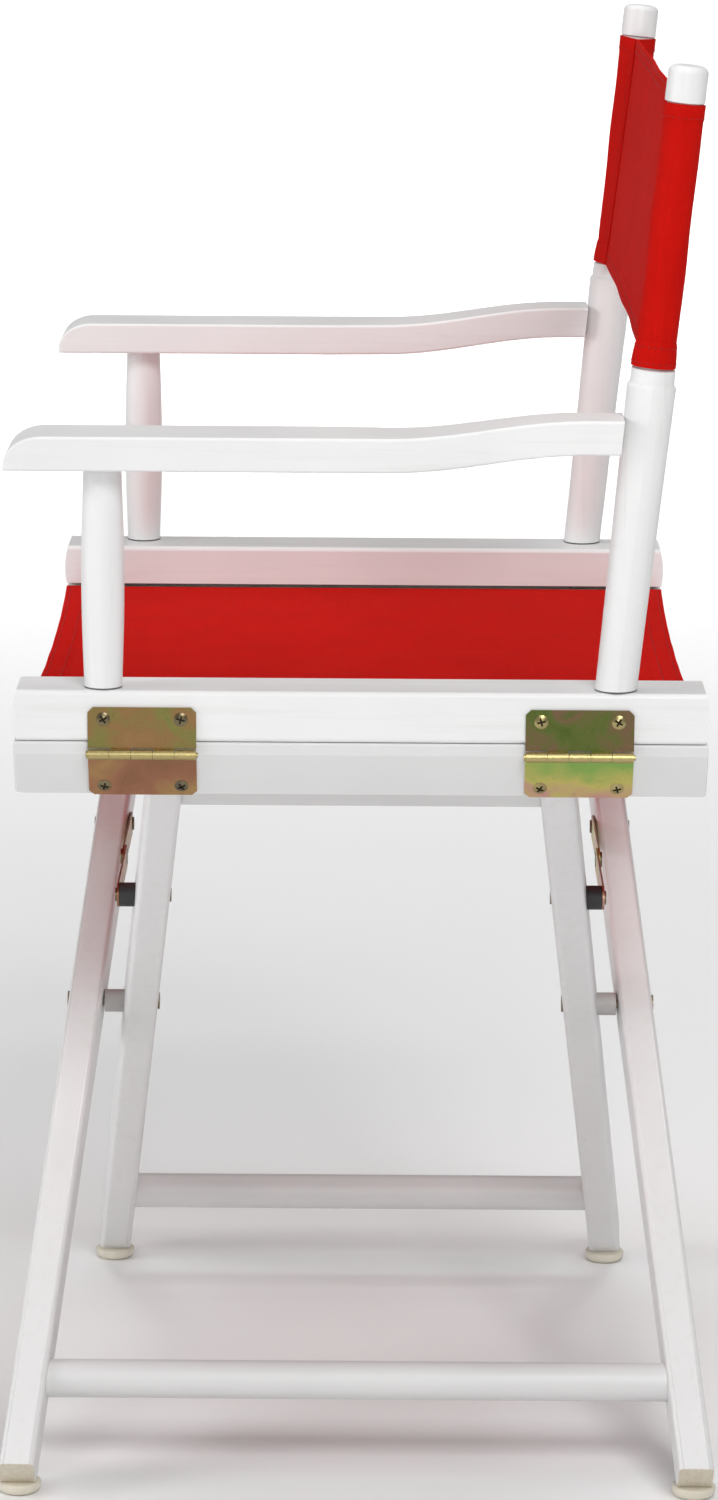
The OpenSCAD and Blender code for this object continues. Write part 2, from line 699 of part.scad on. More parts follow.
brace_rivet_heads();
brace_straps_right();
brace_rivet_tails();
seat_canvas_left();
seat_canvas_right();
back_sleeve_left();
back_canvas_left();
back_canvas_right();
back_sleeve_right();
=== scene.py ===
# Folding director chair: looks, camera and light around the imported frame.
# Everything is in metres: +X is the sitter's left, -Y is the front, +Z is up.
import math

import bmesh
import bpy
from mathutils import Matrix, Vector


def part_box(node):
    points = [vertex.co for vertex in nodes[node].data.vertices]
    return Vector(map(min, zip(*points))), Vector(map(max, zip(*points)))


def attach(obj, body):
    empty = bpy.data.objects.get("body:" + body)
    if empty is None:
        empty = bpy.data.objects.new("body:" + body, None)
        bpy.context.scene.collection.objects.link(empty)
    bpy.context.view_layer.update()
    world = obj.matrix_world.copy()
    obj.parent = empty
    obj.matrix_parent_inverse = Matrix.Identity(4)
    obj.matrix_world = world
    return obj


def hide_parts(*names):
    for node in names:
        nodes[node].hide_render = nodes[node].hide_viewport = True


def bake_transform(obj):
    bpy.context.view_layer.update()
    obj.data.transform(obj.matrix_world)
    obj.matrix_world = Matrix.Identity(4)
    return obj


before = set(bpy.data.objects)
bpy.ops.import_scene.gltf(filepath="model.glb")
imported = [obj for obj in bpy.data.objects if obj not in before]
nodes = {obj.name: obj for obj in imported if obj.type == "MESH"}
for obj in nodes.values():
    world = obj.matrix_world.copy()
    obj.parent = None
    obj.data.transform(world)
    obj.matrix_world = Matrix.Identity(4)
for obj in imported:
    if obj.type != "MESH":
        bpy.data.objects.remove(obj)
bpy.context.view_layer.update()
MM = 0.001
# Height of the near-black band at a post's foot: partly a real glue line, partly painted contact
# shadow.
GLUE_LINE_AND_SHADOW = 0.9 * MM
BARREL_R = 3.2 * MM                            # the brass-coloured barrel round a hinge pin


# ---- Materials ----

class Graph:
    """A material's node tree around one Principled shader."""

    def __init__(self, name, **constants):
        self.mat = bpy.data.materials.new(name)
        self.mat.use_nodes = True
        self.tree = self.mat.node_tree
        self.tree.nodes.clear()
        out = self.tree.nodes.new("ShaderNodeOutputMaterial")
        self.shader = self.tree.nodes.new("ShaderNodeBsdfPrincipled")
        self.tree.links.new(self.shader.outputs[0], out.inputs[0])
        for key, value in constants.items():
            self.shader.inputs[key.replace("_", " ")].default_value = value

    def add(self, kind, *inputs, **settings):
        """A node's first output. Inputs go in order: a socket is linked, a value set, None left."""
        node = self.tree.nodes.new("ShaderNode" + kind)
        for key, value in settings.items():
            setattr(node, key, value)
        for socket, value in zip(node.inputs, inputs):
            if isinstance(value, bpy.types.NodeSocket):
                self.tree.links.new(value, socket)
            elif value is not None:
                socket.default_value = value
        return node.outputs[0]

    def math(self, operation, *inputs):
        return self.add("Math", *inputs, operation=operation)

    def place(self, scale=(1, 1, 1), kind="Object", turn=(0, 0, 0)):
        """The piece's own coordinates, or its UV map, turned and scaled."""
        at = self.tree.nodes.new("ShaderNodeTexCoord").outputs[kind]
        return self.add("Mapping", at, None, turn, scale)

    def axes(self, at):
        """The X, Y and Z of a place, as three sockets."""
        split = self.tree.nodes.new("ShaderNodeSeparateXYZ")
        self.tree.links.new(at, split.inputs[0])
        return tuple(split.outputs)

    def noise(self, at, scale, detail=3.0, rough=0.5, distortion=0.0):
        node = self.tree.nodes.new("ShaderNodeTexNoise")
        self.tree.links.new(at, node.inputs["Vector"])
        for key, value in (("Scale", scale), ("Detail", detail), ("Roughness", rough),
                           ("Distortion", distortion)):
            node.inputs[key].default_value = value
        return node.outputs["Fac"]

    def span(self, value, low, high, to_low, to_high):
        """Maps low..high to to_low..to_high, clamped."""
        return self.add("MapRange", value, low, high, to_low, to_high)

    def ramp(self, factor, stops):
        node = self.tree.nodes.new("ShaderNodeValToRGB")
        self.tree.links.new(factor, node.inputs[0])
        ends = node.color_ramp.elements
        while len(ends) < len(stops):
            ends.new(0.5)
        for element, (at, colour) in zip(ends, stops):
            element.position = at
            element.color = (*colour, 1)
        return node.outputs[0]

    def mix(self, factor, a, b):
        node = self.tree.nodes.new("ShaderNodeMix")
        node.data_type = "RGBA"
        for socket, value in ((node.inputs[0], factor), (node.inputs[6], a), (node.inputs[7], b)):
            if isinstance(value, bpy.types.NodeSocket):
                self.tree.links.new(value, socket)
            else:
                socket.default_value = (*value, 1) if isinstance(value, tuple) else value
        return node.outputs[2]

    def bump(self, height, distance, strength=1.0, before=None):
        node = self.tree.nodes.new("ShaderNodeBump")
        node.inputs["Strength"].default_value = strength
        node.inputs["Distance"].default_value = distance
        self.tree.links.new(height, node.inputs["Height"])
        if before is not None:
            self.tree.links.new(before, node.inputs["Normal"])
        return node.outputs[0]

    def use(self, **sockets):
        for key, value in sockets.items():
            self.tree.links.new(value, self.shader.inputs[key.replace("_", " ")])
        return self.mat


def white_paint(name, grain, turn=(0, 0, 0), joint=None, shade_tone=1.0):
    """Satin white paint over wood. grain is the scale of the noise along each axis, and joint the
    height of a glue line painted near black, partly a real joint and partly painted contact shadow.
    The last argument darkens the paint to match the photo, as painted shade: it isn't a measured
    paint colour."""
    g = Graph(name, Coat_Weight=0.12, Coat_Roughness=0.3, Specular_IOR_Level=0.45)
    along = g.place(grain, turn=turn)
    fibres = g.noise(along, 1.0, 5, 0.62, 0.35)
    cloudy = g.noise(g.place(), 9.0, 3, 0.5)
    peel = g.noise(g.place(), 1500.0, 2, 0.5)
    base = g.mix(g.span(cloudy, 0.3, 0.7, 0, 1), (0.80 * shade_tone, 0.80 * shade_tone, 0.80 * shade_tone),
                 (0.84 * shade_tone, 0.84 * shade_tone, 0.838 * shade_tone))
    lines = g.span(fibres, 0.30, 0.48, 1, 0)
    colour = g.mix(g.math("MULTIPLY", lines, 0.35), base, (0.70, 0.69, 0.675))
    if joint:
        _, _, height = g.axes(g.place())
        # Near black below the joint: a glue line plus painted contact shadow where the post meets
        # the rail.
        colour = g.mix(g.math("LESS_THAN", height, joint + GLUE_LINE_AND_SHADOW), colour, (0.10, 0.10, 0.10))
    first = g.bump(fibres, 0.0003, 0.35)
    return g.use(Base_Color=colour, Roughness=g.span(cloudy, 0.3, 0.7, 0.36, 0.5),
                 Normal=g.bump(peel, 0.00004, 0.5, first))


def bare_wood(name, grain, light, dark):
    g = Graph(name, Specular_IOR_Level=0.3)
    rings = g.noise(g.place(grain), 1.0, 6, 0.6, 0.8)
    pores = g.noise(g.place(tuple(v * 4 for v in grain)), 1.0, 2, 0.5)
    colour = g.mix(g.span(rings, 0.3, 0.7, 0, 1), dark, light)
    colour = g.mix(g.span(pores, 0.25, 0.4, 0.3, 0), colour, tuple(v * 0.6 for v in dark))
    return g.use(Base_Color=colour, Roughness=g.span(rings, 0.3, 0.7, 0.6, 0.8),
                 Normal=g.bump(pores, 0.0002, 0.4))


def canvas(name, light, dark, pitch=0.62 * MM):
    """Plain weave in the cloth's own UV map, which is in metres. Its colour holds painted shade in
    the gaps between threads and a painted highlight where one set of threads lies on top.
    """
    g = Graph(name, Sheen_Weight=0.015, Sheen_Roughness=0.5, Specular_IOR_Level=0.05)
    g.shader.inputs["Sheen Tint"].default_value = (1.0, 0.12, 0.08, 1)
    across, along, _ = g.axes(g.place((math.pi / pitch,) * 3, "UV"))
    over = g.math("MULTIPLY", g.math("SINE", across), g.math("SINE", along))
    height = g.math("POWER", g.math("ABSOLUTE", over), 0.6)
    warp = g.noise(g.place((1500, 24, 1), "UV"), 1.0, 3, 0.6)
    weft = g.noise(g.place((24, 1500, 1), "UV"), 1.0, 3, 0.6)
    slub = g.math("MULTIPLY", g.math("ADD", warp, weft), 0.5)
    cloud = g.noise(g.place(kind="UV"), 26.0, 4, 0.55)
    mottle = g.noise(g.place(kind="UV"), 420.0, 3, 0.7)
    shade = g.math("ADD", g.math("MULTIPLY", slub, 0.65),
                   g.math("ADD", g.math("MULTIPLY", cloud, 0.2), g.math("MULTIPLY", mottle, 0.15)))
    body = g.mix(g.span(shade, 0.38, 0.62, 0, 1), dark, light)
    # Painted shade: darker in the gaps between threads.
    gap_shade = g.span(height, 0.0, 0.45, 0.34, 0)
    colour = g.mix(gap_shade, body, tuple(v * 0.45 for v in dark))
    # Painted highlight: lighter where one set of threads lies on top.
    tilt_highlight = g.mix(g.span(over, -0.3, 0.3, 0, 0.16), colour, tuple(min(1, v * 1.25) for v in light))
    thread = g.bump(height, 0.00022, 0.75)
    return g.use(Base_Color=tilt_highlight, Roughness=g.span(mottle, 0.3, 0.7, 0.78, 0.93),
                 Normal=g.bump(slub, 0.00035, 0.5, thread))


def plated(name, stops, other=None, rough=(0.24, 0.42), scale=26.0, barrel=None, swirl=0.5):
    """Chromate-plated steel: the colours of stops drift over it, and those of other over its rear
    half. barrel is the X and Z of a hinge pin's axis, which it is brass-coloured around."""
    g = Graph(name, Metallic=1.0)
    here = g.place()
    film = g.noise(here, scale, 3, 0.5, swirl)
    colour = g.ramp(film, stops)
    x, y, z = g.axes(here)
    if other:
        rear = g.math("GREATER_THAN", y, 0.0)
        colour = g.mix(rear, colour, g.ramp(film, other))
    if barrel:
        dx = g.math("SUBTRACT", g.math("ABSOLUTE", x), barrel[0])
        dz = g.math("SUBTRACT", z, barrel[1])
        reach = g.math("SQRT", g.math("ADD", g.math("MULTIPLY", dx, dx),
                                      g.math("MULTIPLY", dz, dz)))
        colour = g.mix(g.math("LESS_THAN", reach, BARREL_R), colour, BRASS)
    scratches = g.noise(g.place((60, 1800, 1800)), 1.0, 3, 0.6)
    spots = g.noise(here, 420.0, 4, 0.7)
    colour = g.mix(g.span(spots, 0.6, 0.75, 0, 0.35), colour, (0.03, 0.024, 0.014))
    return g.use(Base_Color=colour, Roughness=g.span(scratches, 0.3, 0.7, *rough),
                 Normal=g.bump(scratches, 0.00006, 0.5))


def moulded(name, colour, rough, speck=0.08):
    g = Graph(name, Specular_IOR_Level=0.45)
    fine = g.noise(g.place(), 900.0, 3, 0.6)
    cloud = g.noise(g.place(), 60.0, 3, 0.5)
    tint = g.mix(g.span(cloud, 0.3, 0.7, 0, 1), colour, tuple(v * (1 - speck) for v in colour))
    return g.use(Base_Color=tint, Roughness=g.span(fine, 0.3, 0.7, rough - 0.07, rough + 0.07),
                 Normal=g.bump(fine, 0.00008, 0.5))


BRASS = (0.44, 0.36, 0.16)
OLIVE = [(0.25, (0.19, 0.23, 0.060)), (0.42, (0.24, 0.22, 0.070)), (0.58, (0.30, 0.18, 0.075)),
         (0.75, (0.34, 0.19, 0.090))]
RUST = [(0.25, (0.22, 0.12, 0.060)), (0.45, (0.32, 0.15, 0.090)), (0.6, (0.38, 0.24, 0.100)),
        (0.75, (0.26, 0.13, 0.080))]
FOREST = [(0.28, (0.08, 0.12, 0.025)), (0.45, (0.12, 0.15, 0.040)), (0.6, (0.20, 0.12, 0.070)),
          (0.75, (0.10, 0.14, 0.035))]
RAINBOW = [(0.30, (0.24, 0.40, 0.10)), (0.42, (0.52, 0.46, 0.14)), (0.54, (0.54, 0.29, 0.25)),
           (0.66, (0.28, 0.42, 0.16)), (0.8, (0.52, 0.42, 0.14))]
GOLD = [(0.3, (0.34, 0.29, 0.14)), (0.5, BRASS), (0.7, (0.26, 0.21, 0.11))]
DARK = [(0.3, (0.13, 0.11, 0.07)), (0.5, (0.22, 0.18, 0.10)), (0.7, (0.11, 0.10, 0.075))]
STEEL = [(0.3, (0.42, 0.42, 0.42)), (0.7, (0.58, 0.58, 0.57))]
PIN_AXIS = (271.2 * MM, 466 * MM)
LEG_TURN = math.radians(46.2)
RAIL_TILT = math.radians(28)                   # the lower rails' outer faces, from plumb
LEAF_FACE = 1.8 * MM                           # from a leaf's face out to the pin's axis
POST_JOINT = 503 * MM                          # the seat rails' top, where the posts stand
# Painted shade: these factors darken the white paint of the legs and the other leg-frame parts,
# though the real chair has one white paint throughout.
LEG_SHADE_TONE, LEG_FRAME_SHADE_TONE = 0.95, 0.86

paint_y = white_paint("white_paint_along_y", (160, 5, 160))
paint_z = white_paint("white_paint_along_z", (150, 150, 6), joint=POST_JOINT)
# The leg frames' paints below are darker copies of the same white paint: painted shade.
shaded_paint_inner = white_paint("white_paint_inner_leg_shaded", (150, 150, 6), (0, -LEG_TURN, 0),
                          shade_tone=LEG_SHADE_TONE)
shaded_paint_outer = white_paint("white_paint_outer_leg_shaded", (150, 150, 6), (0, LEG_TURN, 0),
                          shade_tone=LEG_SHADE_TONE)
shaded_paint_low = white_paint("white_paint_leg_frames_shaded", (160, 5, 160), shade_tone=LEG_FRAME_SHADE_TONE)
raw_end = bare_wood("raw_leg_end", (260, 260, 60), (0.74, 0.69, 0.58), (0.62, 0.56, 0.45))
raw_dowel = bare_wood("raw_dowel", (300, 9, 300), (0.62, 0.46, 0.28), (0.44, 0.30, 0.16))
red_bright = canvas("red_canvas", (0.68, 0.0085, 0.0045), (0.51, 0.0055, 0.0035))
red_thread = moulded("red_thread", (0.40, 0.0070, 0.0060), 0.75, 0.3)
upper_plate = plated("chromate_upper", OLIVE, FOREST, barrel=PIN_AXIS, scale=34, swirl=1.2)
lower_plate = plated("chromate_lower", RUST, RAINBOW, barrel=PIN_AXIS, scale=20)
bolt_plate = plated("chromate_bolts", DARK, scale=60)
screw_plate = plated("chromate_screws", DARK, GOLD, scale=60)
strap_plate = plated("chromate_straps", RUST, RAINBOW, scale=22, rough=(0.3, 0.5))
# Near-black finish for the screws' cross recesses: painted shade in the hollows.
recess_shade_plate = plated("chromate_recess_painted_shade", [(0.3, (0.03, 0.025, 0.016)), (0.7, (0.05, 0.04, 0.024))])
pin_plate = plated("brass_pins", GOLD, scale=60, rough=(0.2, 0.35))
nail_steel = plated("bright_nails", STEEL, scale=90, rough=(0.2, 0.35))
cream = moulded("cream_glides", (0.74, 0.69, 0.58), 0.38)
spacer_dark = moulded("dark_spacers", (0.035, 0.035, 0.037), 0.5, 0.25)
spacer_grey = moulded("grey_spacers", (0.52, 0.51, 0.50), 0.5, 0.12)


# ---- Mesh helpers ----

def link(name, data):
    """A new object in the scene."""
    obj = bpy.data.objects.new(name, data)
    bpy.context.scene.collection.objects.link(obj)
    return obj


def piece(name, verts, faces, material, sharp, uvs=None):
    """An object with one material; edges over sharp degrees stay sharp, uvs go by vertex."""
    mesh = bpy.data.meshes.new(name)
    mesh.from_pydata(verts, [], faces)
    obj = link(name, mesh)
    mesh.materials.append(material)
    if uvs:
        layer = mesh.uv_layers.new(name="cloth")
        for loop in mesh.loops:
            layer.data[loop.index].uv = uvs[loop.vertex_index]
    mesh.shade_smooth()
    mesh.set_sharp_from_angle(angle=math.radians(sharp))
    return obj


def remade(node, material, width, shortest=12 * MM, ends=None, end_material=None):
    """A copy of a CAD node with its long sharp edges rounded. ends(face) picks the raw faces."""
    bm = bmesh.new()
    bm.from_mesh(nodes[node].data)
    bmesh.ops.remove_doubles(bm, verts=bm.verts, dist=3e-6)
    bmesh.ops.dissolve_limit(bm, angle_limit=math.radians(0.4), verts=bm.verts, edges=bm.edges)
    bm.normal_update()
    edges = [e for e in bm.edges if len(e.link_faces) == 2 and e.calc_length() > shortest
             and e.calc_face_angle(0) > math.radians(30)]
    if edges:
        bmesh.ops.bevel(bm, geom=edges, offset=width, segments=3, profile=0.5, affect="EDGES",
                        clamp_overlap=True, loop_slide=True)
    bm.normal_update()
    for face in bm.faces:
        face.smooth = True
        face.material_index = 1 if ends and ends(face) else 0
    mesh = bpy.data.meshes.new(node + "_wood")
    bm.to_mesh(mesh)
    bm.free()
    obj = link(node + "_wood", mesh)
    mesh.materials.append(material)
    if end_material:
        mesh.materials.append(end_material)
    mesh.set_sharp_from_angle(angle=math.radians(38))
    return crisp(obj)


def crisp(obj):
    """Keeps broad faces flat between their rounded edges."""
    normals = obj.modifiers.new("flat_faces", "WEIGHTED_NORMAL")
    normals.keep_sharp = True
    normals.weight = 100
    return obj


def stand_for(obj, body, slot, *replaced):
    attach(obj, body)
    if replaced:
        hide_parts(*replaced)


def paint_node(node, material):
    slots = nodes[node].data.materials
    if not slots:
        slots.append(material)
    for i in range(len(slots)):
        slots[i] = material


def dark_recess(node, outward):
    """Paints the cross recess of a hinge's screws near black, as painted shade; outward is the way
    their heads point.
    """
    paint_node(node, screw_plate)
    mesh = nodes[node].data
    mesh.materials.append(recess_shade_plate)
    pin = Vector((math.copysign(PIN_AXIS[0], outward.x), 0, PIN_AXIS[1]))
    # Faces down in the cross recess take the painted shade.
    for face in mesh.polygons:
        above_leaf = (face.center - pin).dot(outward) + LEAF_FACE
        slope = face.normal.dot(outward)
        if above_leaf > 0.3 * MM and (abs(slope) < 0.3 or slope > 0.99 and above_leaf < 0.5 * MM):
            face.material_index = len(mesh.materials) - 1


def running(points):
    """The distance along a row of points up to each one."""
    total = [0.0]
    for p, q in zip(points, points[1:]):
        total.append(total[-1] + (q - p).length)
    return total


def cloth(name, us, vs, at, thick, material):
    """A sheet as a thin closed solid. at(u, v) is its middle surface, thick(u, v) its thickness."""
    rows = [[at(u, v) for v in vs] for u in us]
    nu, nv = len(us), len(vs)
    front, back, uvs = [], [], []
    along_u = running([row[nv // 2] for row in rows])
    along_v = running(rows[nu // 2])
    for i in range(nu):
        for j in range(nv):
            du = rows[min(i + 1, nu - 1)][j] - rows[max(i - 1, 0)][j]
            dv = rows[i][min(j + 1, nv - 1)] - rows[i][max(j - 1, 0)]
            out = du.cross(dv).normalized() * thick(us[i], vs[j]) / 2
            front.append(rows[i][j] + out)
            back.append(rows[i][j] - out)
            uvs.append((along_u[i], along_v[j]))
    count = nu * nv
    faces = []
    for i in range(nu - 1):
        for j in range(nv - 1):
            a, b, c, d = i * nv + j, (i + 1) * nv + j, (i + 1) * nv + j + 1, i * nv + j + 1
            faces.append((a, b, c, d))
            faces.append((d + count, c + count, b + count, a + count))
    rim = [i * nv for i in range(nu)] + [(nu - 1) * nv + j for j in range(1, nv)]
    rim += [i * nv + nv - 1 for i in range(nu - 2, -1, -1)] + list(range(nv - 2, 0, -1))
    for a, b in zip(rim, rim[1:] + rim[:1]):
        faces.append((b, a, a + count, b + count))
    return piece(name, front + back, faces, material, 50, uvs + uvs)


def stitches(name, rows, material, half=1.15 * MM, r=0.3 * MM):
    """Sewing threads. Each row is a list of (place, direction, outward) along its line."""
    verts, faces = [], []
    sides = 6
    rings = ((-1, 0.3), (-0.55, 1.0), (0.55, 1.0), (1, 0.3))      # place along it, and thickness
    last = len(rings) - 1
    for row in rows:
        for place, direction, outward in row:
            d = direction.normalized()
            o = (outward - d * outward.dot(d)).normalized()
            s = d.cross(o)
            first = len(verts)
            for step, size in rings:
                for k in range(sides):
                    a = 2 * math.pi * k / sides
                    verts.append(place + d * half * step
                                 + (o * math.cos(a) + s * math.sin(a)) * r * size)
            for ring in range(last):
                for k in range(sides):
                    a, b = first + ring * sides + k, first + ring * sides + (k + 1) % sides
                    faces.append((a, a + sides, b + sides, b))
            faces.append(tuple(first + k for k in range(sides)))
            faces.append(tuple(first + last * sides + k for k in reversed(range(sides))))
    return piece(name, verts, faces, material, 60)


def spread(low, high, step, *extra):
    """Values from low to high about step apart, with the extra ones among them."""
    count = max(1, round((high - low) / step))
    values = [low + (high - low) * i / count for i in range(count + 1)]
    kept = [v for v in values if all(abs(v - e) > step * 0.3 for e in extra)]
    return sorted(set(kept) | {v for v in extra if low <= v <= high})


# ---- Wood ----

ARM_T, ARM_RISE, ARM_NOSE, ARM_TAPER = 20 * MM, 11 * MM, 22 * MM, 13 * MM
NOSE_LIP = 3 * MM                              # the armrest's thickness at its very front
RISE_FROM, RISE_RUN = 15 * MM, 115 * MM        # where along Y the armrest rises
TAPER_FROM, TAPER_RUN = -20 * MM, 160 * MM     # and where its inner edge draws in
ARM_REAR = 140 * MM                            # its rear cut, near enough for the taper
POST_FOOT = Vector((255, 148, 503)) * MM       # back post's axis at the seat rail, sitter's left
POST_RUN = Vector((10, 35, 362)) * MM          # and its run from there to the top
BEHIND_ARM = 14.07 * MM                        # from the post's axis forward to the armrest's cut


def armrest(side):
    """Loft with soft edges: level front with a rounded nose, then a gentle rise to the rear."""
    name = "armrest_left" if side > 0 else "armrest_right"
    lo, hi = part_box("armrest_left")
    bottom, front = lo[2], lo[1]
    outer, inner = hi[0], lo[0]
    soft = 1.8 * MM
    corner_steps = 5

    def rise(y):
        t = min(max((y - RISE_FROM) / RISE_RUN, 0), 1)
        return ARM_RISE * (1 - math.cos(math.pi * t)) / 2

    def inner_edge(y):
        t = min(max((y - TAPER_FROM) / TAPER_RUN, 0), 1)
        return inner + ARM_TAPER * t

    sections = []
    for i in range(13):
        a = math.radians(i * 7.5)
        y = front + ARM_NOSE * (1 - math.cos(a))
        dy = y - front
        inset = soft - math.sqrt(max(0, soft ** 2 - max(0, soft - dy) ** 2))
        sections.append((y, bottom, bottom + NOSE_LIP + (ARM_T - NOSE_LIP) * math.sin(a), inset))
    for y in spread(-174 * MM, 138 * MM, 10 * MM):
        sections.append((y, bottom + rise(y), bottom + ARM_T + rise(y), 0))
    # The last section, with no y of its own, follows the back post's lean.
    sections.append((None, bottom + ARM_RISE, bottom + ARM_T + ARM_RISE, 0))
    verts = []
    for y, z0, z1, inset in sections:
        x0, x1 = inner_edge(ARM_REAR if y is None else y) + inset, outer - inset
        r = min(soft, (z1 - z0) * 0.45)
        ring = []
        for cx, cz, start in ((x1 - r, z1 - r, 0), (x0 + r, z1 - r, 90), (x0 + r, z0 + r, 180),
                              (x1 - r, z0 + r, 270)):
            for k in range(corner_steps + 1):
                a = math.radians(start + 90 * k / corner_steps)
                ring.append((cx + r * math.cos(a), cz + r * math.sin(a)))
        for x, z in ring:
            lean = POST_FOOT.y + POST_RUN.y * (z - POST_FOOT.z) / POST_RUN.z - BEHIND_ARM
            verts.append((side * x, lean if y is None else y, z))
    n = 4 * (corner_steps + 1)
    faces = [tuple(reversed(range(n))), tuple(range(len(verts) - n, len(verts)))]
    for s in range(len(sections) - 1):
        for k in range(n):
            a, b = s * n + k, s * n + (k + 1) % n
            faces.append((a, b, b + n, a + n))
    if side > 0:
        faces = [tuple(reversed(f)) for f in faces]
    obj = crisp(piece(name + "_wood", verts, faces, paint_y, 40))
    stand_for(obj, "left_arm" if side > 0 else "right_arm", "painted_wood", name)


def foot_cut(out):
    """Picks a leg's square end and its level cut; out is +1 or -1, the way the foot points."""
    def pick(face):
        n = face.normal
        low = face.calc_center_median().z < 30 * MM
        return low and n.z < -0.5 and (n.x * out > 0.5 or n.z < -0.95)
    return pick


for side, arm in ((1, "left_arm"), (-1, "right_arm")):
    end = arm.split("_")[0]
    armrest(side)
    rail = "seat_rail_" + end
    stand_for(remade(rail, paint_y, 1.3 * MM), arm, "painted_wood", rail)
    dark_recess("upper_hinge_screws_" + end, Vector((side, 0, 0)))
    dark_recess("lower_hinge_screws_" + end,
                Vector((side * math.cos(RAIL_TILT), 0, -math.sin(RAIL_TILT))))
    for node, material in (("front_post_", paint_z), ("back_post_", paint_z),
                           ("arm_dowel_", raw_dowel), ("seat_dowel_", raw_dowel),
                           ("hinge_pins_", pin_plate), ("upper_hinge_leaves_", upper_plate),
                           ("lower_hinge_leaves_", lower_plate), ("brace_straps_", strap_plate)):
        paint_node(node + end, material)

for which, paint, out in (("inner", shaded_paint_inner, -1), ("outer", shaded_paint_outer, 1)):
    body = which + "_frame"
    for end in ("front", "rear"):
        leg = f"{which}_{end}_leg"
        stand_for(remade(leg, paint, 0.8 * MM, 9 * MM, foot_cut(out), raw_end), body,
                  "painted_wood", leg)
    for node, width in ((which + "_lower_rail", 1.6 * MM), (which + "_apron", 1.0 * MM)):
        stand_for(remade(node, shaded_paint_low, width), body, "painted_wood", node)
    for node, material in (("_stretcher", shaded_paint_low), ("_glides", cream),
                           ("_glide_nails", nail_steel), ("_brace_bolts", bolt_plate)):
        paint_node(which + node, material)

for node, material in (("pivot_bolts", bolt_plate), ("pivot_nuts", bolt_plate),
                       ("pivot_spacers", spacer_grey), ("inner_brace_spacers", spacer_dark),
                       ("brace_rivet_heads", bolt_plate), ("brace_rivet_tails", bolt_plate)):
    paint_node(node, material)


# ---- Seat canvas ----

seat_lo, seat_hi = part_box("seat_canvas_left")
SEAT_Y = seat_hi[1]
SEAT_Z = (seat_lo[2] + seat_hi[2]) / 2
RAIL_IN = 224 * MM
SEAT_X = RAIL_IN - 0.1 * MM         # the cloth ends at the mouth of the rail's slot
CLOTH_T, HEM_T = 1.15 * MM, 2.1 * MM
SEAT_SAG, SEAT_HEM, EDGE_PULL = 2.0 * MM, 14 * MM, 3.6 * MM
SEAT_DROP = 1.2 * MM                # the cloth rests on the slot's lower lip


def seat_at(u, v):
    """u is the place across the seat, v from -1 at the front to +1 at the rear."""
    t = max(0, 1 - (u / RAIL_IN) ** 2)
    y = v * (SEAT_Y - EDGE_PULL * t)
    edge = 1 - 0.35 * abs(v) ** 3
    ripple = 0.5 * MM * math.sin(u * 95) * math.sin(v * 5.2 + u * 20) * t
    return Vector((u, y, SEAT_Z - SEAT_DROP - SEAT_SAG * t ** 0.9 * edge + ripple))


def hem_rows(limit, hem, scale):
    """v values with close pairs where the hem's inner edge steps down."""
    step = hem / scale
    fine = 0.5 * MM / scale
    return spread(-limit, limit, 6 * MM / scale, *(s * (limit - step + d) for s in (-1, 1)
                                                   for d in (-fine, fine)))


def seat_thick(u, v):
    return HEM_T if abs(v) > 1 - SEAT_HEM / SEAT_Y else CLOTH_T


seat = cloth("seat_canvas", spread(-SEAT_X, SEAT_X, 8 * MM), hem_rows(1, SEAT_HEM, SEAT_Y),
             seat_at, seat_thick, red_bright)


def row_on(at, us, v, outward, lift, reach):
    """A row of stitches along a sheet. reach is the step in u that gives their direction."""
    row = []
    for u in us:
        p, q = at(u - reach, v), at(u + reach, v)
        row.append(((p + q) / 2 + outward * lift, q - p, outward))
    return row


UP = Vector((0, 0, 1))
STITCH_END = 3 * MM                 # the seat's rows of stitches stop this far from the rails
seat_steps = spread(-SEAT_X + STITCH_END, SEAT_X - STITCH_END, 3.4 * MM)
seam_lines = []
for v in (-1, 1):
    for inset in (3 * MM, SEAT_HEM - 1.8 * MM):
        for way in (-1, 1):
            seam_lines.append(row_on(seat_at, seat_steps, v * (1 - inset / SEAT_Y), UP * way,
                                     HEM_T / 2 + 0.05 * MM, 1 * MM))
seat_seams = stitches("seat_seams", seam_lines, red_thread)
for obj in (seat, seat_seams):
    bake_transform(obj)
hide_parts("seat_canvas_left", "seat_canvas_right")


# ---- Back canvas ----

POST_LEN = POST_RUN.length
ALONG = POST_RUN / POST_LEN
SLEEVE_FROM = POST_LEN * 0.494 + 11.4 * MM     # from the post's foot, along its axis
BACK_H = 151 * MM
WRAP_R = 11.1 * MM                             # the cloth's radius round the post
POCKET = 22 * MM                               # from the post's axis to the seam
SEAM_HALF = 0.56 * MM                          # half the step between the pocket's two layers
CUFF, TOP_HEM = 14 * MM, 9 * MM
EDGE_ROW = 2.6 * MM                            # from the canvas's edge to its row of stitches
HEM_ROW = 1.4 * MM                             # and from the top hem's inner edge
THREAD_LIFT = 0.88 * MM                        # from the cloth's middle out to the threads
REARWARD = Vector((0, POST_RUN.z, -POST_RUN.y)).normalized()


def seam_front(s):
    """Where the seam lies against the post's axis, rearward, at height s up the canvas: 5 mm in
    front of it at the bottom and 1.4 mm at the top."""
    return -(5.0 - 3.6 * s / BACK_H) * MM


def post_at(side, s):
    p = POST_FOOT + ALONG * (SLEEVE_FROM + s)
    return Vector((side * p.x, p.y, p.z))


def bell(x, middle, width):
    return math.exp(-((x - middle) / width) ** 2)


